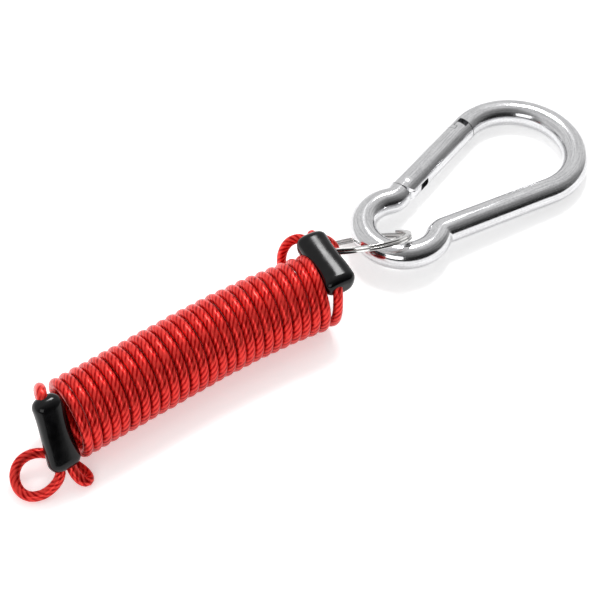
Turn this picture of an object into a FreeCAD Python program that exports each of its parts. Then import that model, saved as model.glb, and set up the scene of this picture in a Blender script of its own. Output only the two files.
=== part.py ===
import FreeCAD, Part
import math
import os

from FreeCAD import Matrix, Placement, Rotation, Vector

# A coiled wire-rope lanyard with a snap hook, lying on a table. Millimetres, +Z up, the table at z = 0.
# X runs along the hook from its small eye to its big end, the gate is on the +Y side, and the coil
# lies on the -X side. The origin is under the middle of the hook and the split ring together.

# Hook: a bent round bar, drawn flat and then tilted, because the split ring passes under its eye.
BAR = 9.5
EYE_CENTRE = Vector(-26.2, 0, BAR / 2)
EYE_RADIUS = 13.2
BIG_CENTRE = Vector(31.0, 0, BAR / 2)
BIG_RADIUS = 21.7
NECK_RADIUS = 5.0
SPINE_OFFSET = 8.0
GATE_OFFSET = 9.4
HOOK_TILT = 2.2

# Gate: places along it are measured from the foot of the perpendicular from the eye's centre,
# and places across it from the bar's centreline, outward positive.
SHOULDER = 13.0
CHEEK_END = 13.25
PIVOT = (16.9, -0.5)
NOSE_SEAM = 49.0
SEAM_SLANT = 0.45
NOTCH_END = 55.2
TANG_THICKNESS = 3.2
SLOT_WIDTH = 3.4
SLOT_END = 24.5
CAM_RADIUS = 3.2
CAM_CENTRE = (PIVOT[0] + 1.147, PIVOT[1] - 1.638)
RIVET_RADIUS = 1.5
RIVET_HEAD_RADIUS = 1.8
RUNNING_CLEARANCE = 0.05
BORE_RADIUS = 2.1
BORE_END = 41.0
PLUNGER_FACE = 21.33
PLUNGER_NOSE_RADIUS = 1.5
PLUNGER_HEAD_RADIUS = 1.95
PLUNGER_HEAD = (25.6, 27.2)
SPRING_RADIUS = 1.6
SPRING_WIRE = 0.5
SPRING_END = 40.7
SPRING_TURNS = 10

# Split ring: two turns of flat wire, wound on each other.
RING_CENTRE = Vector(-42.15, 0.7, 11.45)
RING_NORMAL = Vector(0.319, 0.578, 0.751)
RING_RADIUS = 14.65
RING_WIRE_WIDTH = 2.1
RING_WIRE_HEIGHT = 1.0
RING_WIRE_ROUNDING = 0.3
RING_PITCH = 1.04

# Cable: a vinyl jacket on a wire rope, and the closed outer shape of its coil.
CABLE = 3.3
JACKET_BORE = 2.4
ROPE = 2.3
COIL_RADIUS = 13.1
COIL_FAR = Vector(-161.8, 8.25, COIL_RADIUS)
COIL_BEND = Vector(-94.0, 1.36, COIL_RADIUS)
COIL_NEAR = Vector(-70.9, -4.85, COIL_RADIUS)
COIL_BEND_TANGENT = 22.0
BODY_GAP = 0.3

# Crimp: a ferrule on two ropes side by side, under a soft cover with rounded ends.
STRAND_OFFSET = 1.7
COVER_THICKNESS = 7.0
COVER_ROUNDING = 1.7
FERRULE_WIDTH = 7.2
FERRULE_THICKNESS = 4.6
FERRULE_MARGIN = 3.0

# Each end of the lanyard: where its cover starts and ends, which side the cable comes in, and the
# routes of the cable's lead and of its eye loop.
HOOK_END = {
    "name": "hook_end",
    "lead_mouth": Vector(-67.0, -13.2, 22.2),
    "loop_mouth": Vector(-62.0, 7.0, 23.1),
    "cover_width": 9.9,
    "lead_side": -1,
    "lead_offset": -1.2,
    "first_leg": -1,
    "lead": [
        (-68.2, -1.6, 2.2), (-69.6, -6.6, 1.75), (-70.3, -11.2, 3.3), (-70.7, -14.9, 7.4),
        (-70.7, -16.1, 12.4), (-70.3, -15.8, 17.0), (-69.6, -14.9, 20.6),
    ],
    "loop": [
        (-64.6, 9.8, 23.0), (-66.8, 12.2, 20.8), (-68.7, 13.1, 16.6), (-69.4, 13.0, 11.4),
        (-68.7, 12.2, 6.0), (-65.2, 10.1, 2.5), (-60.3, 7.3, 1.7), (-55.3, 5.1, 3.2),
        (-51.7, 4.9, 6.6), (-50.6, 6.6, 10.3), (-52.4, 8.3, 13.9), (-55.6, 9.1, 16.9),
        (-58.4, 9.2, 19.7), (-59.8, 8.7, 22.2),
    ],
}
FREE_END = {
    "name": "free_end",
    "lead_mouth": Vector(-166.8, 8.3, 26.7),
    "loop_mouth": Vector(-169.7, -2.2, 7.6),
    "cover_width": 9.3,
    "lead_side": -1,
    "lead_offset": -0.5,
    "first_leg": 1,
    "lead": [
        (-160.9, 13.2, 2.9), (-161.6, 17.4, 6.6), (-162.1, 19.4, 11.6), (-162.6, 19.2, 16.8),
        (-163.2, 17.5, 21.8), (-164.1, 14.8, 25.9), (-165.3, 11.9, 28.5), (-166.6, 9.6, 28.7),
    ],
    "loop": [
        (-168.4, -4.6, 5.4), (-167.8, -6.8, 3.4), (-166.3, -7.8, 2.3), (-164.7, -6.6, 1.65),
        (-164.4, -3.6, 1.65), (-165.1, 0.0, 1.8), (-166.9, 3.7, 2.9), (-169.8, 7.2, 4.8),
        (-173.6, 9.6, 6.1), (-178.2, 10.3, 5.8), (-182.1, 8.2, 4.2), (-183.8, 4.0, 2.2),
        (-182.6, -0.1, 1.65), (-179.0, -2.4, 1.9), (-175.3, -3.1, 3.4), (-172.7, -3.1, 5.7),
    ],
}


def gate_line():
    """Start, direction along and outward direction of the gate's centreline."""
    angle = math.asin((BIG_RADIUS - GATE_OFFSET) / (BIG_CENTRE.x - EYE_CENTRE.x))
    along = Vector(math.cos(angle), math.sin(angle), 0)
    outward = Vector(-math.sin(angle), math.cos(angle), 0)
    return EYE_CENTRE + outward * GATE_OFFSET, along, outward


def spine_line():
    """Start, direction along and outward direction of the spine's centreline."""
    angle = math.asin((BIG_RADIUS - SPINE_OFFSET) / (BIG_CENTRE.x - EYE_CENTRE.x))
    along = Vector(math.cos(angle), -math.sin(angle), 0)
    outward = Vector(-math.sin(angle), -math.cos(angle), 0)
    return EYE_CENTRE + outward * SPINE_OFFSET, along, outward


def on_gate(along_mm, across_mm, height_mm=0.0):
    """The point at a place along, across and above the gate's centreline."""
    start, along, outward = gate_line()
    return start + along * along_mm + outward * across_mm + Vector(0, 0, height_mm)


def arc(first, middle, last):
    return Part.Arc(first, middle, last).toShape()


def line(first, last):
    return Part.LineSegment(first, last).toShape()


def neck(side, offset):
    """The neck between the eye and a straight side: its points on the eye, halfway and on the side."""
    start, along, outward = side
    reach = math.sqrt((EYE_RADIUS + NECK_RADIUS) ** 2 - (offset + NECK_RADIUS) ** 2)
    centre = start + outward * NECK_RADIUS + along * reach
    on_eye = EYE_CENTRE + (centre - EYE_CENTRE).normalize() * EYE_RADIUS
    on_side = start + along * reach
    middle = centre + (on_eye + on_side - centre * 2).normalize() * NECK_RADIUS
    return on_eye, middle, on_side


def sweep(path, radius):
    """A round bar of one radius along a path of joined edges."""
    wire = Part.Wire(path)
    start = wire.Edges[0].valueAt(wire.Edges[0].FirstParameter)
    direction = wire.Edges[0].tangentAt(wire.Edges[0].FirstParameter)
    profile = Part.Wire(Part.makeCircle(radius, start, direction))
    return wire.makePipeShell([profile], True, False)


def gate_prism(outline, height=BAR):
    """A prism through the bar's thickness from places along and across the gate."""
    points = [on_gate(along, across, -height / 2) for along, across in outline]
    face = Part.Face(Part.makePolygon(points + points[:1]))
    return face.extrude(Vector(0, 0, height))


def gate_cylinder(radius, first, last):
    """A cylinder on the gate's centreline between two places along it."""
    along = gate_line()[1]
    return Part.makeCylinder(radius, last - first, on_gate(first, 0), along)


def cross_cylinder(radius, place, height):
    """A cylinder across the hook's plane at a place along and across the gate."""
    return Part.makeCylinder(radius, height, on_gate(place[0], place[1], -height / 2), Vector(0, 0, 1))


def notch_outline():
    """The slot that the gate's tongue closes in, open to the hook's inside."""
    return [
        (NOSE_SEAM - SEAM_SLANT, -BAR), (NOSE_SEAM, 0.2), (NOSE_SEAM + 1.6, 0.2),
        (NOSE_SEAM + 1.6, 1.6), (NOTCH_END, 1.6), (NOTCH_END, -BAR),
    ]


def hook_body():
    """The bent bar, with the nose's slot and the hinge's tang."""
    spine = spine_line()
    gate_neck = neck(gate_line(), GATE_OFFSET)
    spine_neck = neck(spine, SPINE_OFFSET)
    eye_far_side = EYE_CENTRE - Vector(EYE_RADIUS, 0, 0)
    big_far_side = BIG_CENTRE + Vector(BIG_RADIUS, 0, 0)
    on_big_gate = BIG_CENTRE + gate_line()[2] * BIG_RADIUS
    on_big_spine = BIG_CENTRE + spine[2] * BIG_RADIUS
    bar = sweep([
        line(on_gate(SHOULDER, 0), gate_neck[2]),
        arc(gate_neck[2], gate_neck[1], gate_neck[0]),
        arc(gate_neck[0], eye_far_side, spine_neck[0]),
        arc(spine_neck[0], spine_neck[1], spine_neck[2]),
        line(spine_neck[2], on_big_spine),
        arc(on_big_spine, big_far_side, on_big_gate),
        line(on_big_gate, on_gate(NOSE_SEAM - SEAM_SLANT, 0)),
    ], BAR / 2)
    end_trim = gate_prism([
        (NOSE_SEAM - BAR, -BAR), (NOSE_SEAM, -BAR), (NOSE_SEAM, 0.2),
        (NOSE_SEAM - SEAM_SLANT, BAR / 2), (NOSE_SEAM - BAR, BAR / 2),
    ], 2 * BAR)
    bar = bar.cut(end_trim.common(gate_cylinder(BAR, NOSE_SEAM - BAR, NOSE_SEAM)))
    bar = bar.cut(gate_prism(notch_outline(), 2 * BAR))
    strap = gate_prism([
        (SHOULDER - 1.0, -3.2), (SHOULDER - 1.0, 2.8), (PIVOT[0], 2.8), (PIVOT[0], -3.2),
    ], TANG_THICKNESS)
    hub = cross_cylinder(CAM_RADIUS, (PIVOT[0], PIVOT[1]), TANG_THICKNESS)
    cam = cross_cylinder(CAM_RADIUS, CAM_CENTRE, TANG_THICKNESS)
    tang = strap.multiFuse([hub, cam]).common(gate_cylinder(BAR / 2, SHOULDER - 1.0, SLOT_END))
    hole = cross_cylinder(RIVET_RADIUS + RUNNING_CLEARANCE, PIVOT, BAR)
    return bar.fuse(tang).cut(hole).removeSplitter()


def tongue_outline():
    """The gate from its hinge to the hooked tongue, as places along and across it."""
    return [
        (CHEEK_END, BAR), (CHEEK_END, 0.25), (CHEEK_END, -BAR), (NOTCH_END - 0.3, -BAR),
        (NOTCH_END - 0.3, -2.2), (NOSE_SEAM + 3.8, -2.2), (NOSE_SEAM + 3.8, 1.35),
        (NOSE_SEAM + 1.8, 1.35), (NOSE_SEAM + 1.8, 0.0), (NOSE_SEAM - 0.15, 0.0),
        (NOSE_SEAM - 0.15 - 2 * SEAM_SLANT, BAR),
    ]


def gate_heel():
    """What is cut away at the gate's inner heel so that it turns clear of the shoulder."""
    radius = 5.0
    corner = gate_prism([
        (CHEEK_END - 1, 0.25), (CHEEK_END - 1, -BAR), (CHEEK_END + radius, -BAR),
        (CHEEK_END + radius, 0.25),
    ], 2 * BAR)
    return corner.cut(cross_cylinder(radius, (CHEEK_END + radius, 0.25), 2 * BAR))


def gate():
    """The gate: a bar with two cheeks, a spring bore and a tongue."""
    bar = gate_cylinder(BAR / 2, CHEEK_END - 1, NOTCH_END + 1)
    bar = bar.common(gate_prism(tongue_outline(), 2 * BAR)).cut(gate_heel())
    slot = gate_prism([
        (CHEEK_END - 1, -BAR), (CHEEK_END - 1, BAR), (SLOT_END, BAR), (SLOT_END, -BAR),
    ], SLOT_WIDTH)
    bore = gate_cylinder(BORE_RADIUS, CHEEK_END - 1, BORE_END)
    return bar.cut(slot).cut(bore).cut(gate_rivet())


def gate_rivet():
    """The hinge rivet with a low dome on each end."""
    shank = cross_cylinder(RIVET_RADIUS, PIVOT, BAR - 0.8)
    head_sphere = 4.0
    height = BAR / 2 + 0.15
    heads = []
    for side in (-1, 1):
        base = on_gate(PIVOT[0], PIVOT[1], side * (BAR / 2 - 0.55))
        disc = Part.makeCylinder(RIVET_HEAD_RADIUS, 0.75, base, Vector(0, 0, side))
        ball = Part.makeSphere(head_sphere, on_gate(PIVOT[0], PIVOT[1], side * (height - head_sphere)))
        heads.append(disc.common(ball))
    return shank.multiFuse(heads).removeSplitter()


def gate_plunger():
    """The plunger: a nose on the tang and a head under the spring."""
    nose = gate_cylinder(PLUNGER_NOSE_RADIUS, PLUNGER_FACE, PLUNGER_HEAD[1])
    head = gate_cylinder(PLUNGER_HEAD_RADIUS, PLUNGER_HEAD[0], PLUNGER_HEAD[1])
    return nose.fuse(head).removeSplitter()


def gate_spring():
    """The compression spring between the plunger's head and the bore's end."""
    first = PLUNGER_HEAD[1] + SPRING_WIRE / 2 + 0.05
    length = SPRING_END - SPRING_WIRE / 2 - first
    helix = Part.makeHelix(length / SPRING_TURNS, length, SPRING_RADIUS)
    profile = Part.Wire(Part.makeCircle(SPRING_WIRE / 2, Vector(SPRING_RADIUS, 0, 0), Vector(0, 1, 0)))
    spring = Part.Wire(helix).makePipeShell([profile], True, True)
    spring.Placement = Placement(on_gate(first, 0), Rotation(Vector(0, 0, 1), gate_line()[1]))
    return spring


def tilted(shape):
    """Leans the flat hook on its big end, with the eye raised."""
    contact = Vector(BIG_CENTRE.x + BIG_RADIUS, 0, 0)
    shape = shape.copy()
    shape.rotate(contact, Vector(0, 1, 0), HOOK_TILT)
    return shape


def flat_wire_profile(centre, half_width, half_height, rounding):
    """A flat wire's section at a distance from the Z axis: a rectangle with rounded corners."""
    signs = [(-1, -1), (1, -1), (1, 1), (-1, 1)]
    edges = []
    for index, (across, up) in enumerate(signs):
        corner = Vector(centre + across * half_width, 0, up * half_height)
        sideways = Vector(-across * rounding, 0, 0)
        upward = Vector(0, 0, -up * rounding)
        middle = corner + (sideways + upward) * (1 - math.sqrt(0.5))
        before, after = (upward, sideways) if across == up else (sideways, upward)
        edges.append((corner + before, middle, corner + after))
    outline = []
    for index, (first, middle, last) in enumerate(edges):
        outline.append(arc(first, middle, last))
        outline.append(line(last, edges[(index + 1) % len(edges)][0]))
    return Part.Wire(outline)


def split_ring():
    """Two turns of flat wire."""
    helix = Part.makeHelix(RING_PITCH, 2 * RING_PITCH, RING_RADIUS)
    profile = flat_wire_profile(RING_RADIUS, RING_WIRE_WIDTH / 2, RING_WIRE_HEIGHT / 2, RING_WIRE_ROUNDING)
    ring = Part.Wire(helix).makePipeShell([profile], True, True)
    ring.translate(Vector(0, 0, -RING_PITCH))
    ring.Placement = Placement(RING_CENTRE, Rotation(Vector(0, 0, 1), RING_NORMAL)) * ring.Placement
    return ring


def cord_path(points, name):
    """Straight runs joined by arcs as large as the runs allow; prints the arcs' radii."""
    points = [Vector(*point) for point in points]
    edges = []
    radii = []
    start = points[0]
    for before, corner, after in zip(points, points[1:], points[2:]):
        into = (corner - before).normalize()
        out = (after - corner).normalize()
        tangent = 0.45 * min((corner - before).Length, (after - corner).Length)
        radii.append(tangent / math.tan(into.getAngle(out) / 2))
        first = corner - into * tangent
        last = corner + out * tangent
        toward = (out - into).normalize()
        half_turn = into.getAngle(out) / 2
        depth = radii[-1] * (1 / math.cos(half_turn) - 1)
        edges.append(line(start, first))
        edges.append(arc(first, corner + toward * depth, last))
        start = last
    edges.append(line(start, points[-1]))
    print(name, "arc radii", [round(radius, 1) for radius in radii])
    return edges


def cord(points, diameter, name):
    """A round cord along a route, with its volume compared with its section times its length."""
    path = cord_path(points, name)
    tube = sweep(path, diameter / 2)
    length = sum(edge.Length for edge in path)
    print(name, "length", round(length, 1), "volume ratio",
          round(tube.Volume / (length * math.pi * diameter ** 2 / 4), 4))
    return tube


def coiled_cable():
    """The closed outer shape of the coil, straight and then bent, with room where its free end leaves."""
    into = (COIL_BEND - COIL_FAR).normalize()
    out = (COIL_NEAR - COIL_BEND).normalize()
    first = COIL_BEND - into * COIL_BEND_TANGENT
    last = COIL_BEND + out * COIL_BEND_TANGENT
    half_turn = into.getAngle(out) / 2
    depth = COIL_BEND_TANGENT * math.tan(half_turn / 2)
    middle = COIL_BEND + (out - into).normalize() * depth
    coil = sweep([line(COIL_FAR, first), arc(first, middle, last), line(last, COIL_NEAR)], COIL_RADIUS)
    return coil.cut(cord(lead_route(FREE_END), CABLE + 2 * BODY_GAP, "room in the coil"))


def cover_frame(end):
    """The cover's own axes: X across its width, Y through it, Z from the lead to the loop."""
    along = (end["loop_mouth"] - end["lead_mouth"]).normalize()
    width = (Vector(1, 0, 0) - along * along.x).normalize()
    through = along.cross(width)
    origin = end["lead_mouth"]
    return Matrix(width.x, through.x, along.x, origin.x,
                  width.y, through.y, along.y, origin.y,
                  width.z, through.z, along.z, origin.z,
                  0, 0, 0, 1)


def cover_length(end):
    return (end["loop_mouth"] - end["lead_mouth"]).Length


def crimp_point(end, across_mm, along_mm):
    """A point on the cover's middle plane, across and along it."""
    point = cover_frame(end).multVec(Vector(across_mm, 0, along_mm))
    return point.x, point.y, point.z


def strand_point(end, side, along_mm):
    """A point on one of the two ropes where they run side by side through the crimp."""
    return crimp_point(end, side * STRAND_OFFSET, along_mm)


def rounded_block(width, thickness, first, last):
    """A block with half-round sides, between two places along the cover."""
    radius = thickness / 2
    reach = width / 2 - radius
    corners = [Vector(-reach, -radius, first), Vector(reach, -radius, first),
               Vector(reach, radius, first), Vector(-reach, radius, first)]
    outline = [
        line(corners[0], corners[1]),
        arc(corners[1], Vector(width / 2, 0, first), corners[2]),
        line(corners[2], corners[3]),
        arc(corners[3], Vector(-width / 2, 0, first), corners[0]),
    ]
    return Part.Face(Part.Wire(outline)).extrude(Vector(0, 0, last - first))


def transformed(shape, matrix):
    shape = shape.copy()
    shape.Placement = Placement(matrix)
    return shape


def pocket(end):
    """The ferrule's room inside the cover."""
    block = rounded_block(FERRULE_WIDTH + 0.1, FERRULE_THICKNESS + 0.1,
                          FERRULE_MARGIN - 0.05, cover_length(end) - FERRULE_MARGIN + 0.05)
    return transformed(block, cover_frame(end))


def cover(end):
    """The soft cover: rounded ends, a pocket for the ferrule, and mouths for the cables."""
    length = cover_length(end)
    body = rounded_block(end["cover_width"], COVER_THICKNESS, 0, length)
    rims = [edge for edge in body.Edges if edge.BoundBox.ZLength < 0.01]
    body = body.makeFillet(COVER_ROUNDING, rims)
    loop_mouth = rounded_block(2 * STRAND_OFFSET + CABLE + 0.1, CABLE + 0.1, length / 2, length + 1)
    shell = transformed(body.cut(loop_mouth), cover_frame(end)).cut(pocket(end))
    return shell.cut(cord(lead_route(end), CABLE + 0.1, end["name"] + " lead mouth"))


def ferrule(end):
    """The crimped sleeve with its two rope bores."""
    length = cover_length(end)
    block = rounded_block(FERRULE_WIDTH, FERRULE_THICKNESS, FERRULE_MARGIN, length - FERRULE_MARGIN)
    for side in (-1, 1):
        block = block.cut(Part.makeCylinder(JACKET_BORE / 2, length, Vector(side * STRAND_OFFSET, 0, 0)))
    return transformed(block, cover_frame(end))


def lead_route(end):
    """The cable from the coil to the crimp."""
    return end["lead"] + [crimp_point(end, end["lead_offset"], 0.0),
                          strand_point(end, end["lead_side"], FERRULE_MARGIN - 0.05)]


def loop_route(end):
    """The eye loop, out of the crimp and back into it."""
    length = cover_length(end)
    inside = length - FERRULE_MARGIN + 0.05
    side = end["first_leg"]
    return ([strand_point(end, side, inside), strand_point(end, side, length)]
            + end["loop"]
            + [strand_point(end, -side, length), strand_point(end, -side, inside)])


def jacket(route, name):
    """A cable's jacket with the rope's bore."""
    return cord(route, CABLE, name).cut(cord(route, JACKET_BORE, name + " bore"))


def rope_core(end):
    """The wire rope: through the lead, the crimp and the loop, and back into the crimp."""
    length = cover_length(end)
    cut_end = strand_point(end, -end["lead_side"], FERRULE_MARGIN + 1.0)
    loop = end["loop"] if end["first_leg"] == end["lead_side"] else end["loop"][::-1]
    route = lead_route(end) + [strand_point(end, end["lead_side"], length)]
    route += loop + [strand_point(end, -end["lead_side"], length), cut_end]
    return cord(route, ROPE, end["name"] + " rope")


def main():
    os.makedirs("parts", exist_ok=True)
    shapes = {
        "hook_body": tilted(hook_body()),
        "gate": tilted(gate()),
        "gate_rivet": tilted(gate_rivet()),
        "gate_plunger": tilted(gate_plunger()),
        "gate_spring": tilted(gate_spring()),
        "split_ring": split_ring(),
        "coiled_cable": coiled_cable(),
    }
    for end in (HOOK_END, FREE_END):
        name = end["name"]
        shapes[name + "_cover"] = cover(end)
        shapes[name + "_ferrule"] = ferrule(end)
        shapes[name + "_lead_jacket"] = jacket(lead_route(end), name + " lead").cut(pocket(end))
        shapes[name + "_loop_jacket"] = jacket(loop_route(end), name + " loop").cut(pocket(end))
        shapes[name + "_rope_core"] = rope_core(end)
    for name, shape in shapes.items():
        print(name, "solids", len(shape.Solids), "valid", shape.isValid(), "volume", round(shape.Volume, 1),
              "box", [round(value, 1) for value in (shape.BoundBox.XMin, shape.BoundBox.XMax,
                                                     shape.BoundBox.YMin, shape.BoundBox.YMax,
                                                     shape.BoundBox.ZMin, shape.BoundBox.ZMax)])
        shape.exportStep("parts/" + name + ".step")


main()
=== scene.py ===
import math

import bmesh
import bpy
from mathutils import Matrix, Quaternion, Vector


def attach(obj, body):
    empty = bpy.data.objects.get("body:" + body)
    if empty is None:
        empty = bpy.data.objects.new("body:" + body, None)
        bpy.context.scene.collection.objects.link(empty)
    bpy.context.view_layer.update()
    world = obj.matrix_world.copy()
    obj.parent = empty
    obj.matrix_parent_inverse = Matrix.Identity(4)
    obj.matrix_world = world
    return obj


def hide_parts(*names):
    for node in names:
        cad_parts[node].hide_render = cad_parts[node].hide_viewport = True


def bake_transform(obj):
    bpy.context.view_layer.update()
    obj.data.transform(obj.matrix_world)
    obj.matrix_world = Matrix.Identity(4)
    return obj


# A coiled red lanyard with a snap hook on a pale studio floor. Everything is in metres, in the frame
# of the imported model: +Z up, the table at z = 0, X along the hook, the coil on the -X side.

MM = 0.001

# Camera
CAMERA_PLACE = (-0.28845, -0.24074, 0.39741)
CAMERA_TARGET = (-0.06905, 0.00394, 0.0)
CAMERA_LENS = 92.19

# Floor and light. The room's tones go from behind the viewer to the wall beyond the object.
OBJECT_MIDDLE = (-0.06, 0.0, 0.0)
FLOOR_RADIUS = 0.75
FLOOR_TONE = 0.93
FLOOR_GLOW = 0.42
ROOM_DIRECTION = (0.20, 0.95, 0.24)
ROOM_STRENGTH = 0.95
ROOM_TONES = (
    (0.0, 0.02), (0.13, 0.03), (0.20, 0.12), (0.30, 0.26),
    (0.42, 0.36), (0.50, 0.58), (0.58, 0.86), (1.0, 0.95),
)

# Cable
CABLE_RADIUS = 1.65 * MM
ROPE_RADIUS = 1.15 * MM
STRAND_COUNT = 6
LAY_LENGTH = 12.4 * MM
RIDGE_DEPTH = 0.045 * MM
RING_STEP = 0.8 * MM
SIDES = 24

# Coil: its axis is straight from the far end, bends, and is straight again to the hook's end.
COIL_FAR = Vector((-161.8, 8.25, 13.1)) * MM
COIL_BEND = Vector((-94.0, 1.36, 13.1)) * MM
COIL_NEAR = Vector((-70.9, -4.85, 13.1)) * MM
BEND_TANGENT = 22.0 * MM
TURN_RADIUS = 11.45 * MM
POINTS_PER_TURN = 16
FIRST_ANGLE = 312.0
LAST_ANGLE = 9634.0
# How far each angle of the coil lies behind its end at the hook, in millimetres.
TURN_PLACES = (
    (300.0, -1.6), (450.0, 0.85), (540.0, 1.5), (720.0, 3.3), (900.0, 5.25),
    (8100.0, 76.92), (9540.0, 90.2), (9656.0, 91.4),
)
# The turns lean more at the far end, and stand straight again before the cable leaves the coil.
LEAN_FAR = 0.1
LEAN_NEAR = 0.02
LEAN_END = 26.6
LEAN_FADE = 4.0
# No turn is quite like the next: each stray is a size, a pace in radians per turn, and a start.
FIRST_LOOSE_TURN = 1.6
LAST_LOOSE_TURN = 26.15
STRAYS = ((0.07 * MM, 2.3, 0.0), (0.04 * MM, 5.1, 1.0))
RADIUS_STRAY = 0.10 * MM
RADIUS_PACE = 1.7

# Crimps: the ropes lie side by side in them.
STRAND_OFFSET = 1.7
FERRULE_MARGIN = 3.0

# Soft covers: they reach past the crimp's mouths, narrow in the middle, and bulge a little to one side.
COVER_RINGS = 64
COVER_SIDES = 64
COVER_WAIST = 0.35
BULGE_PLACE = 0.25
BULGE_LENGTH = 0.25
WIDE_FACE_ROUNDNESS = 0.78
DEEP_FACE_ROUNDNESS = 0.84

# Red jacket: strands and the wires in them show through it. Its red is painted lighter on the strands'
# crests and darker in the grooves between them: painted highlight and painted shade.
WIRES_PER_STRAND = 3
STRAND_HEIGHT = 0.30
WIRE_HEIGHT = 0.10
MIDDLE_HEIGHT = 0.5
LAY_UNEVENNESS = 1.6
# From groove to crest: the darker stops paint shade into the grooves, and the lightest paints a
# highlight onto the strands' crests.
JACKET_TONES_AND_PAINTED_SHADE = (
    (0.15, (0.15, 0.0001, 0.0004)), (0.45, (0.25, 0.0003, 0.0008)),
    (0.75, (0.42, 0.003, 0.004)), (1.0, (0.80, 0.050, 0.040)),
)

# Metal: drawing marks per radian around a bar and per metre across it, and how much they tell.
MARKS_AROUND = 16.0
MARKS_PER_METRE = 110.0
MARKS_IN_TONE = 0.65
MARKS_IN_ROUGHNESS = 0.6

# Each metal: its darkest and lightest colour, and its smoothest and roughest finish.
METALS = {
    "wire_rope": ((0.52, 0.52, 0.53), (0.68, 0.68, 0.69), (0.2, 0.35)),
    "polished_steel": ((0.49, 0.49, 0.50), (0.71, 0.71, 0.72), (0.09, 0.19)),
    "rivet_steel": ((0.60, 0.60, 0.61), (0.76, 0.76, 0.77), (0.16, 0.26)),
    "spring_steel": ((0.42, 0.42, 0.43), (0.60, 0.60, 0.61), (0.2, 0.3)),
    "nickel_ring": ((0.48, 0.48, 0.47), (0.68, 0.67, 0.66), (0.14, 0.24)),
    "crimp_aluminium": ((0.55, 0.55, 0.56), (0.72, 0.72, 0.73), (0.3, 0.45)),
}
METAL_NODES = {
    "polished_steel": ["hook_body", "gate"],
    "rivet_steel": ["gate_rivet", "gate_plunger"],
    "spring_steel": ["gate_spring"],
    "nickel_ring": ["split_ring"],
    "crimp_aluminium": ["hook_end_ferrule", "free_end_ferrule"],
}

# The two ends of the lanyard, in millimetres, as in the CAD source.
HOOK_END = {
    "cover_reach": (1.7, 1.1),
    "cover_left": (6.3, 5.4),
    "cover_right": (5.2, 5.4),
    "cover_heights": (3.5, 3.3),
    "cover_depths": (5.0, 6.6),
    "cover_bulge": 0.5,
    "cover_rounding": 2.9,
    "lead_mouth": Vector((-67.0, -13.2, 22.2)),
    "loop_mouth": Vector((-62.0, 7.0, 23.1)),
    "lead_side": -1,
    "lead_offset": -1.2,
    "first_leg": -1,
    "lead": [
        (-68.2, -1.6, 2.2), (-69.6, -6.6, 1.75), (-70.3, -11.2, 3.3), (-70.7, -14.9, 7.4),
        (-70.7, -16.1, 12.4), (-70.3, -15.8, 17.0), (-69.6, -14.9, 20.6),
    ],
    "loop": [
        (-64.6, 9.8, 23.0), (-66.8, 12.2, 20.8), (-68.7, 13.1, 16.6), (-69.4, 13.0, 11.4),
        (-68.7, 12.2, 6.0), (-65.2, 10.1, 2.5), (-60.3, 7.3, 1.7), (-55.3, 5.1, 3.2),
        (-51.7, 4.9, 6.6), (-50.6, 6.6, 10.3), (-52.4, 8.3, 13.9), (-55.6, 9.1, 16.9),
        (-58.4, 9.2, 19.7), (-59.8, 8.7, 22.2),
    ],
}
FREE_END = {
    "cover_reach": (2.3, 0.5),
    "cover_left": (4.4, 5.2),
    "cover_right": (5.2, 5.8),
    "cover_heights": (3.5, 3.5),
    "cover_depths": (3.6, 3.8),
    "cover_bulge": 0.3,
    "cover_rounding": 3.4,
    "lead_mouth": Vector((-166.8, 8.3, 26.7)),
    "loop_mouth": Vector((-169.7, -2.2, 7.6)),
    "lead_side": -1,
    "lead_offset": -0.5,
    "first_leg": 1,
    "lead": [
        (-160.9, 13.2, 2.9), (-161.6, 17.4, 6.6), (-162.1, 19.4, 11.6), (-162.6, 19.2, 16.8),
        (-163.2, 17.5, 21.8), (-164.1, 14.8, 25.9), (-165.3, 11.9, 28.5), (-166.6, 9.6, 28.7),
    ],
    "loop": [
        (-168.4, -4.6, 5.4), (-167.8, -6.8, 3.4), (-166.3, -7.8, 2.3), (-164.7, -6.6, 1.65),
        (-164.4, -3.6, 1.65), (-165.1, 0.0, 1.8), (-166.9, 3.7, 2.9), (-169.8, 7.2, 4.8),
        (-173.6, 9.6, 6.1), (-178.2, 10.3, 5.8), (-182.1, 8.2, 4.2), (-183.8, 4.0, 2.2),
        (-182.6, -0.1, 1.65), (-179.0, -2.4, 1.9), (-175.3, -3.1, 3.4), (-172.7, -3.1, 5.7),
    ],
}


# ---------------------------------------------------------------- camera, floor and light

def make_camera():
    data = bpy.data.cameras.new("camera")
    data.lens = CAMERA_LENS
    data.sensor_width = 36.0
    data.clip_start = 0.01
    camera = bpy.data.objects.new("camera", data)
    bpy.context.scene.collection.objects.link(camera)
    camera.location = CAMERA_PLACE
    direction = Vector(CAMERA_TARGET) - Vector(CAMERA_PLACE)
    camera.rotation_euler = direction.to_track_quat("-Z", "Y").to_euler()
    bpy.context.scene.camera = camera


def show_true_colours():
    bpy.context.scene.view_settings.view_transform = "Standard"


def make_floor():
    bpy.ops.mesh.primitive_circle_add(
        vertices=96, radius=FLOOR_RADIUS, fill_type="NGON", location=OBJECT_MIDDLE,
    )
    floor = bpy.context.object
    floor.name = "floor"
    material = new_material("floor_paper")
    shader = principled(material)
    shader.inputs["Base Color"].default_value = (FLOOR_TONE, FLOOR_TONE, FLOOR_TONE, 1)
    shader.inputs["Roughness"].default_value = 0.9
    shader.inputs["Specular IOR Level"].default_value = 0.1
    shader.inputs["Emission Color"].default_value = (1, 1, 1, 1)
    shader.inputs["Emission Strength"].default_value = FLOOR_GLOW
    floor.data.materials.append(material)


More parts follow.
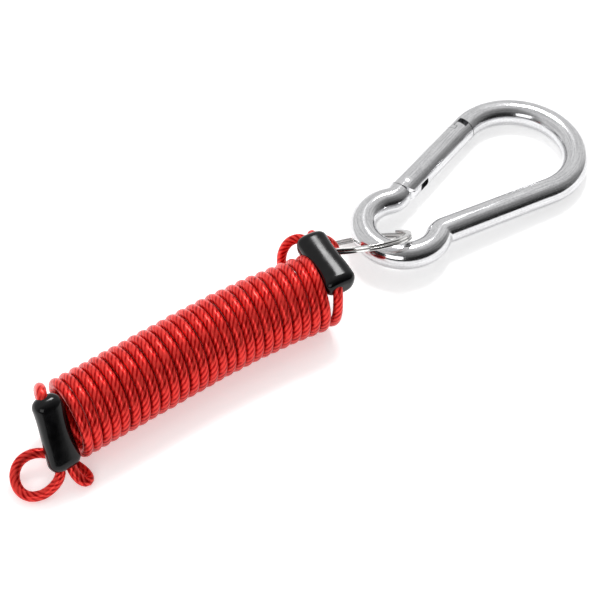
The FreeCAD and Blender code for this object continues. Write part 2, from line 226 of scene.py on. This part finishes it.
def make_world():
    """A room that is bright beyond the object and dark behind the viewer, for the metal to mirror."""
    world = bpy.data.worlds.new("studio")
    bpy.context.scene.world = world
    world.use_nodes = True
    nodes = world.node_tree.nodes
    links = world.node_tree.links
    coords = nodes.new("ShaderNodeTexCoord")
    beyond = nodes.new("ShaderNodeVectorMath")
    beyond.operation = "DOT_PRODUCT"
    beyond.inputs[1].default_value = ROOM_DIRECTION
    links.new(coords.outputs["Generated"], beyond.inputs[0])
    half = nodes.new("ShaderNodeMath")
    half.operation = "MULTIPLY_ADD"
    half.inputs[1].default_value = 0.5
    half.inputs[2].default_value = 0.5
    links.new(beyond.outputs["Value"], half.inputs[0])
    tones = nodes.new("ShaderNodeValToRGB")
    links.new(half.outputs[0], tones.inputs[0])
    links.new(tones.outputs[0], nodes["Background"].inputs[0])
    elements = tones.color_ramp.elements
    for index, (place, level) in enumerate(ROOM_TONES):
        element = elements[index] if index < 2 else elements.new(place)
        element.position = place
        element.color = (level, level, level, 1)
    nodes["Background"].inputs[1].default_value = ROOM_STRENGTH


def make_light(name, place, size, power):
    data = bpy.data.lights.new(name, "AREA")
    data.shape = "RECTANGLE"
    data.size = size[0]
    data.size_y = size[1]
    data.energy = power
    light = bpy.data.objects.new(name, data)
    bpy.context.scene.collection.objects.link(light)
    light.location = place
    light.rotation_euler = (Vector(OBJECT_MIDDLE) - Vector(place)).to_track_quat("-Z", "Y").to_euler()


# ---------------------------------------------------------------- materials

def new_material(name):
    material = bpy.data.materials.new(name)
    material.use_nodes = True
    return material


def principled(material):
    return material.node_tree.nodes["Principled BSDF"]


def add(material, kind, **values):
    """A shader node with its inputs set by name."""
    node = material.node_tree.nodes.new(kind)
    for name, value in values.items():
        node.inputs[name].default_value = value
    return node


def link(material, source, target):
    material.node_tree.links.new(source, target)


def ramp(material, source, stops):
    node = material.node_tree.nodes.new("ShaderNodeValToRGB")
    elements = node.color_ramp.elements
    for index, (place, color) in enumerate(stops):
        element = elements[index] if index < 2 else elements.new(place)
        element.position = place
        element.color = (*color, 1)
    link(material, source, node.inputs[0])
    return node.outputs[0]


def math_node(material, operation, *values):
    """A math node whose inputs are numbers or other nodes' outputs."""
    node = material.node_tree.nodes.new("ShaderNodeMath")
    node.operation = operation
    for socket, value in zip(node.inputs, values):
        if isinstance(value, (int, float)):
            socket.default_value = value
        else:
            link(material, value, socket)
    return node.outputs[0]


def noise(material, coordinates, scale, detail):
    node = add(material, "ShaderNodeTexNoise", Scale=scale, Detail=detail)
    link(material, coordinates, node.inputs["Vector"])
    return node.outputs["Fac"]


def bump(material, height, strength, distance):
    node = add(material, "ShaderNodeBump", Strength=strength, Distance=distance)
    link(material, height, node.inputs["Height"])
    return node.outputs[0]


def metal(name, dark, light, roughness):
    """Worked metal: faint cloudy tone, and drawing marks that run along its bars and wires."""
    material = new_material(name)
    shader = principled(material)
    coords = material.node_tree.nodes.new("ShaderNodeTexCoord")
    normal = material.node_tree.nodes.new("ShaderNodeSeparateXYZ")
    place = material.node_tree.nodes.new("ShaderNodeSeparateXYZ")
    link(material, coords.outputs["Normal"], normal.inputs[0])
    link(material, coords.outputs["Object"], place.inputs[0])
    around = math_node(material, "ARCCOSINE", normal.outputs["Z"])
    join = material.node_tree.nodes.new("ShaderNodeCombineXYZ")
    link(material, math_node(material, "MULTIPLY", around, MARKS_AROUND), join.inputs[0])
    link(material, math_node(material, "MULTIPLY", place.outputs["X"], MARKS_PER_METRE), join.inputs[1])
    link(material, math_node(material, "MULTIPLY", place.outputs["Y"], MARKS_PER_METRE), join.inputs[2])
    marks = noise(material, join.outputs[0], scale=1.0, detail=5.0)
    cloud = noise(material, coords.outputs["Object"], scale=130.0, detail=3.0)
    pits = noise(material, coords.outputs["Object"], scale=1700.0, detail=2.0)
    marks_share = math_node(material, "MULTIPLY", marks, MARKS_IN_TONE)
    grain = math_node(material, "MULTIPLY_ADD", pits, 1.0 - MARKS_IN_TONE, marks_share)
    link(material, ramp(material, grain, [(0.36, dark), (0.62, light)]), shader.inputs["Base Color"])
    tones = [(0.35, (roughness[0],) * 3), (0.68, (roughness[1],) * 3)]
    marks_share = math_node(material, "MULTIPLY", marks, MARKS_IN_ROUGHNESS)
    wear = math_node(material, "MULTIPLY_ADD", cloud, 1.0 - MARKS_IN_ROUGHNESS, marks_share)
    link(material, ramp(material, wear, tones), shader.inputs["Roughness"])
    link(material, bump(material, grain, strength=0.22, distance=0.00004), shader.inputs["Normal"])
    shader.inputs["Metallic"].default_value = 1.0
    return material


def black_vinyl():
    material = new_material("black_vinyl")
    shader = principled(material)
    coords = material.node_tree.nodes.new("ShaderNodeTexCoord").outputs["Object"]
    mottle = noise(material, coords, scale=350.0, detail=3.0)
    grain = noise(material, coords, scale=2600.0, detail=2.0)
    tones = [(0.3, (0.0012, 0.0012, 0.0014)), (0.75, (0.004, 0.004, 0.0044))]
    link(material, ramp(material, mottle, tones), shader.inputs["Base Color"])
    rough = [(0.3, (0.12,) * 3), (0.8, (0.21,) * 3)]
    link(material, ramp(material, mottle, rough), shader.inputs["Roughness"])
    link(material, bump(material, grain, strength=0.1, distance=0.00002), shader.inputs["Normal"])
    shader.inputs["Specular IOR Level"].default_value = 0.24
    return material


def red_jacket():
    """Clear red vinyl over twisted wire: the strands show as soft ridges under a smooth gloss, with a
    painted highlight on their crests and painted shade in the grooves.
    """
    material = new_material("red_jacket")
    shader = principled(material)
    lay = material.node_tree.nodes.new("ShaderNodeUVMap")
    lay.uv_map = "lay"
    split = material.node_tree.nodes.new("ShaderNodeSeparateXYZ")
    link(material, lay.outputs[0], split.inputs[0])
    coords = material.node_tree.nodes.new("ShaderNodeTexCoord").outputs["Object"]
    cloud = noise(material, coords, scale=420.0, detail=3.0)
    phase = math_node(material, "SUBTRACT", split.outputs["X"], split.outputs["Y"])
    turns = math_node(material, "MULTIPLY", phase, 2 * math.pi * STRAND_COUNT)
    uneven = math_node(material, "MULTIPLY_ADD", cloud, LAY_UNEVENNESS, turns)
    strands = math_node(material, "COSINE", uneven)
    wires = math_node(material, "COSINE", math_node(material, "MULTIPLY", turns, WIRES_PER_STRAND))
    height = math_node(material, "MULTIPLY_ADD", wires, WIRE_HEIGHT, MIDDLE_HEIGHT)
    height = math_node(material, "MULTIPLY_ADD", strands, STRAND_HEIGHT, height)
    # The red follows the strands: painted lighter on their crests and painted darker in the grooves
    # (painted highlight and shade), with random cloud on top.
    tone = math_node(material, "ADD", height, cloud)
    link(material, ramp(material, tone, JACKET_TONES_AND_PAINTED_SHADE), shader.inputs["Base Color"])
    link(material, bump(material, height, strength=0.35, distance=0.00014), shader.inputs["Normal"])
    shader.inputs["Metallic"].default_value = 0.6
    shader.inputs["Roughness"].default_value = 0.30
    shader.inputs["Specular IOR Level"].default_value = 0.05
    shader.inputs["Coat Weight"].default_value = 0.08
    shader.inputs["Coat Roughness"].default_value = 0.18
    return material


def shade(node_names, material):
    for name in node_names:
        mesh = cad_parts[name].data
        mesh.materials.clear()
        mesh.materials.append(material)


# ---------------------------------------------------------------- cable routes

def spline_points(name, route, resolution):
    """The points of a smooth curve that has the route's points as its control points."""
    curve = bpy.data.curves.new(name, "CURVE")
    curve.dimensions = "3D"
    spline = curve.splines.new("NURBS")
    spline.points.add(len(route) - 1)
    for point, place in zip(spline.points, route):
        point.co = (*place, 1)
    spline.order_u = 3
    spline.use_endpoint_u = True
    spline.resolution_u = resolution
    holder = bpy.data.objects.new(name, curve)
    bpy.context.scene.collection.objects.link(holder)
    mesh = bpy.data.meshes.new_from_object(holder)
    points = [vertex.co.copy() for vertex in mesh.vertices]
    bpy.data.objects.remove(holder)
    bpy.data.meshes.remove(mesh)
    return points


def length_of(points):
    return sum((after - before).length for before, after in zip(points, points[1:]))


def evenly(points, step):
    """The same line with points at even distances."""
    total = length_of(points)
    count = max(2, round(total / step))
    spaced = [points[0].copy()]
    wanted = total / count
    travelled = 0.0
    for before, after in zip(points, points[1:]):
        piece = (after - before).length
        while piece > 0 and len(spaced) < count and travelled + piece >= wanted * len(spaced):
            share = (wanted * len(spaced) - travelled) / piece
            spaced.append(before.lerp(after, share))
        travelled += piece
    spaced.append(points[-1].copy())
    return spaced


def cross_directions(points):
    """At each point the line's direction and a direction across it that doesn't twist."""
    directions = []
    for index in range(len(points)):
        before = points[max(index - 1, 0)]
        after = points[min(index + 1, len(points) - 1)]
        directions.append((after - before).normalized())
    across = directions[0].orthogonal().normalized()
    result = [(directions[0], across)]
    for previous, direction in zip(directions, directions[1:]):
        across = previous.rotation_difference(direction) @ across
        across = (across - direction * across.dot(direction)).normalized()
        result.append((direction, across))
    return result


def crimp_axes(end):
    along = (end["loop_mouth"] - end["lead_mouth"]).normalized()
    width = (Vector((1, 0, 0)) - along * along.x).normalized()
    return width, along


def crimp_point(end, across, distance):
    """A point in a crimp, in millimetres, across it and along it from the lead's mouth."""
    width, along = crimp_axes(end)
    return tuple(end["lead_mouth"] + width * across + along * distance)


def crimp_length(end):
    return (end["loop_mouth"] - end["lead_mouth"]).length


def lead_route(end):
    return end["lead"] + [
        crimp_point(end, end["lead_offset"], 0.0),
        crimp_point(end, end["lead_side"] * STRAND_OFFSET, FERRULE_MARGIN - 0.05),
    ]


def loop_route(end):
    length = crimp_length(end)
    side = end["first_leg"] * STRAND_OFFSET
    inside = length - FERRULE_MARGIN + 0.05
    return (
        [crimp_point(end, side, inside), crimp_point(end, side, length)]
        + end["loop"]
        + [crimp_point(end, -side, length), crimp_point(end, -side, inside)]
    )


def rope_route(end):
    """The wire rope through the lead, the crimp and the loop, and back into the crimp."""
    length = crimp_length(end)
    side = end["lead_side"] * STRAND_OFFSET
    loop = end["loop"] if end["first_leg"] == end["lead_side"] else end["loop"][::-1]
    return (
        lead_route(end)
        + [crimp_point(end, side, length)]
        + loop
        + [crimp_point(end, -side, length), crimp_point(end, -side, FERRULE_MARGIN + 1.0)]
    )


def metres(route):
    return [Vector(point) * MM for point in route]


def axis_at(distance):
    """The point on the coil's axis at a distance from its hook end, and the direction there."""
    into = (COIL_BEND - COIL_NEAR).normalized()
    out = (COIL_FAR - COIL_BEND).normalized()
    turn = into.angle(out)
    radius = BEND_TANGENT / math.tan(turn / 2)
    straight = (COIL_BEND - COIL_NEAR).length - BEND_TANGENT
    if distance <= straight:
        return COIL_NEAR + into * distance, into
    if distance >= straight + radius * turn:
        rest = distance - straight - radius * turn
        return COIL_BEND + out * (BEND_TANGENT + rest), out
    angle = (distance - straight) / radius
    side = (out - into * out.dot(into)).normalized()
    first = COIL_BEND - into * BEND_TANGENT
    place = first + into * (radius * math.sin(angle)) + side * (radius * (1 - math.cos(angle)))
    return place, into * math.cos(angle) + side * math.sin(angle)


def turn_place(angle):
    """How far along the coil's axis its cable is at an angle, in metres."""
    pairs = list(zip(TURN_PLACES, TURN_PLACES[1:]))
    for (first, near), (last, far) in pairs:
        if angle <= last:
            break
    return (near + (far - near) * (angle - first) / (last - first)) * MM


def limited(share):
    return min(1.0, max(0.0, share))


def between(pair, share):
    return pair[0] + (pair[1] - pair[0]) * share


def coil_route():
    """The coil's turns: a left-handed helix whose turns lean and differ a little."""
    step = 360.0 / POINTS_PER_TURN
    count = round((LAST_ANGLE - FIRST_ANGLE) / step)
    control_radius = TURN_RADIUS / ((3 + math.cos(math.radians(step))) / 4)
    total = TURN_PLACES[-1][1] * MM
    route = []
    for index in range(count + 1):
        angle = FIRST_ANGLE + (LAST_ANGLE - FIRST_ANGLE) * index / count
        turn = angle / 360.0
        distance = turn_place(angle)
        stray = sum(size * math.sin(turn * pace + start) for size, pace, start in STRAYS)
        loose = limited(min(turn - FIRST_LOOSE_TURN, LAST_LOOSE_TURN - turn))
        leaning = limited(min(turn - FIRST_LOOSE_TURN, (LEAN_END - turn) / LEAN_FADE))
        centre, direction = axis_at(distance + stray * loose)
        sideways = Vector((0, 0, 1)).cross(direction)
        if sideways.y < 0:
            sideways = -sideways
        radians = math.radians(angle)
        radius = control_radius - RADIUS_STRAY * loose * (0.5 + 0.5 * math.sin(turn * RADIUS_PACE))
        lean = between((LEAN_NEAR, LEAN_FAR), limited(distance / total)) * leaning
        height = math.sin(radians) * radius
        route.append(centre + sideways * (math.cos(radians) * radius) + Vector((0, 0, height))
                     - direction * (lean * height))
    return route


# ---------------------------------------------------------------- cable meshes

def ring_of(bm, place, direction, across, radius, sides, spin, ridge):
    """One ring of a tube's points, with the rope's ridges showing through."""
    other = direction.cross(across)
    ring = []
    for index in range(sides):
        angle = 2 * math.pi * index / sides
        lobe = 0.5 - 0.5 * math.cos(STRAND_COUNT * (angle - spin))
        reach = radius - ridge * lobe
        ring.append(bm.verts.new(place + (across * math.cos(angle) + other * math.sin(angle)) * reach))
    return ring


def tube(name, points, radius, sides, ridge, material):
    """A tube along a line, with a map of the rope's lay: around it and along it."""
    bm = bmesh.new()
    lay = bm.loops.layers.uv.new("lay")
    frames = cross_directions(points)
    rings = []
    travelled = [0.0]
    for before, after in zip(points, points[1:]):
        travelled.append(travelled[-1] + (after - before).length)
    for place, (direction, across), distance in zip(points, frames, travelled):
        spin = 2 * math.pi * distance / LAY_LENGTH
        rings.append(ring_of(bm, place, direction, across, radius, sides, spin, ridge))
    for number, (first, second) in enumerate(zip(rings, rings[1:])):
        for index in range(sides):
            following = (index + 1) % sides
            face = bm.faces.new((first[index], first[following], second[following], second[index]))
            face.smooth = True
            around = (index / sides, (index + 1) / sides)
            along = (travelled[number] / LAY_LENGTH, travelled[number + 1] / LAY_LENGTH)
            values = ((around[0], along[0]), (around[1], along[0]),
                      (around[1], along[1]), (around[0], along[1]))
            for loop, value in zip(face.loops, values):
                loop[lay].uv = value
    bm.faces.new(rings[0][::-1])
    bm.faces.new(rings[-1])
    bm.normal_update()
    mesh = bpy.data.meshes.new(name)
    bm.to_mesh(mesh)
    bm.free()
    mesh.materials.append(material)
    piece = bpy.data.objects.new(name, mesh)
    bpy.context.scene.collection.objects.link(piece)
    return piece


def wire_rope(name, points, material):
    """Six strands laid round a seventh."""
    strand_radius = ROPE_RADIUS / 3
    frames = cross_directions(points)
    lines = [list(points)]
    for number in range(STRAND_COUNT):
        line = []
        distance = 0.0
        for index, (place, (direction, across)) in enumerate(zip(points, frames)):
            if index:
                distance += (place - points[index - 1]).length
            angle = 2 * math.pi * (number / STRAND_COUNT + distance / LAY_LENGTH)
            line.append(place + Quaternion(direction, angle) @ across * (2 * strand_radius))
        lines.append(line)
    strands = []
    for number, line in enumerate(lines):
        strands.append(tube(
            f"{name}_strand_{number}", line, strand_radius, sides=8, ridge=0.0, material=material,
        ))
    bm = bmesh.new()
    for strand in strands:
        bm.from_mesh(strand.data)
        old = strand.data
        bpy.data.objects.remove(strand)
        bpy.data.meshes.remove(old)
    mesh = bpy.data.meshes.new(name)
    bm.to_mesh(mesh)
    bm.free()
    mesh.materials.append(material)
    piece = bpy.data.objects.new(name, mesh)
    bpy.context.scene.collection.objects.link(piece)
    return piece


def make_loop(end, name, body, jacket, wire):
    """An eye loop's jacket, and the wire rope of that end."""
    points = evenly(spline_points(name + "_line", metres(loop_route(end)), resolution=12), RING_STEP)
    loop = tube(name + "_loop", points, CABLE_RADIUS, SIDES, RIDGE_DEPTH, jacket)
    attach(loop, body)
    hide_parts(name + "_loop_jacket")
    core = evenly(spline_points(name + "_rope_line", metres(rope_route(end)), resolution=8), RING_STEP)
    rope = wire_rope(name + "_wire_rope", core, wire)
    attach(rope, body)
    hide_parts(name + "_rope_core")


def make_cable(jacket):
    """The cable from one crimp, through the coil, to the other."""
    route = metres(lead_route(HOOK_END))[::-1] + coil_route() + metres(lead_route(FREE_END))
    points = evenly(spline_points("cable_line", route, resolution=6), RING_STEP)
    cable = tube("coiled_red_cable", points, CABLE_RADIUS, SIDES, RIDGE_DEPTH, jacket)
    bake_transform(cable)
    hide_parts("coiled_cable", "hook_end_lead_jacket", "free_end_lead_jacket")


# ---------------------------------------------------------------- soft covers

def cover_ring(end, place, start, stop):
    """The cover's outline at a place along it: a rounded oval, deeper on one face than the other."""
    width, along = crimp_axes(end)
    through = along.cross(width)
    share = (place - start) / (stop - start)
    rounding = end["cover_rounding"]
    from_end = min(place - start, stop - place, rounding)
    lost = rounding - math.sqrt(rounding ** 2 - (rounding - from_end) ** 2)
    narrower = COVER_WAIST * math.sin(math.pi * share) + lost
    left = between(end["cover_left"], share) - narrower
    right = between(end["cover_right"], share) - narrower
    height = between(end["cover_heights"], share) - lost
    depth = between(end["cover_depths"], share) - lost
    bulge = end["cover_bulge"] * math.exp(-((share - BULGE_PLACE) / BULGE_LENGTH) ** 2)
    points = []
    for index in range(COVER_SIDES):
        angle = 2 * math.pi * index / COVER_SIDES
        cosine = math.cos(angle)
        sine = math.sin(angle)
        wide = math.copysign(abs(cosine) ** WIDE_FACE_ROUNDNESS, cosine)
        across = wide * (left if cosine < 0 else right) + bulge
        deep = math.copysign(abs(sine) ** DEEP_FACE_ROUNDNESS, sine) * (height if sine < 0 else depth)
        points.append((end["lead_mouth"] + along * place + width * across + through * deep) * MM)
    return points


def make_cover(end, name, body, material):
    """A dipped vinyl cover with domed ends, over a crimp."""
    start = -end["cover_reach"][0]
    stop = crimp_length(end) + end["cover_reach"][1]
    bm = bmesh.new()
    rings = []
    for index in range(COVER_RINGS):
        share = index / (COVER_RINGS - 1)
        place = start + (stop - start) * (0.5 - 0.5 * math.cos(math.pi * share))
        rings.append([bm.verts.new(point) for point in cover_ring(end, place, start, stop)])
    for first, second in zip(rings, rings[1:]):
        for index in range(COVER_SIDES):
            following = (index + 1) % COVER_SIDES
            bm.faces.new((first[index], first[following], second[following], second[index]))
    bm.faces.new(rings[0][::-1])
    bm.faces.new(rings[-1])
    for face in bm.faces:
        face.smooth = True
    bmesh.ops.recalc_face_normals(bm, faces=bm.faces)
    mesh = bpy.data.meshes.new(name)
    bm.to_mesh(mesh)
    bm.free()
    mesh.materials.append(material)
    piece = bpy.data.objects.new(name, mesh)
    bpy.context.scene.collection.objects.link(piece)
    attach(piece, body)
    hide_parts(name.replace("_boot", "_cover"))
    return piece


# ---------------------------------------------------------------- the scene

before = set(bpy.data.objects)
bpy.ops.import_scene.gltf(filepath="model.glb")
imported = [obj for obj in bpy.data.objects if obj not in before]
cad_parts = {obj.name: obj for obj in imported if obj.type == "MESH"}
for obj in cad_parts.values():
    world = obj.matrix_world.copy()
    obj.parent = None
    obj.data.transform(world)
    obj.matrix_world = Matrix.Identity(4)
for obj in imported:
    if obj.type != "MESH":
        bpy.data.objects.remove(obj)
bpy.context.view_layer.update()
make_camera()
jacket_material = red_jacket()
wire_material = metal("wire_rope", *METALS["wire_rope"])
vinyl_material = black_vinyl()
hook_boot = make_cover(HOOK_END, "hook_end_boot", "lanyard_near", vinyl_material)
free_boot = make_cover(FREE_END, "free_end_boot", "lanyard_far", vinyl_material)
make_cable(jacket_material)
make_loop(HOOK_END, "hook_end", "lanyard_near", jacket_material, wire_material)
make_loop(FREE_END, "free_end", "lanyard_far", jacket_material, wire_material)

for metal_name, node_names in METAL_NODES.items():
    shade(node_names, metal(metal_name, *METALS[metal_name]))

show_true_colours()
make_floor()
make_world()
make_light("overhead", place=(0.22, 0.20, 0.55), size=(0.17, 0.17), power=2.3)
make_light("front", place=(-0.62, -0.40, 0.36), size=(0.45, 0.35), power=1.2)
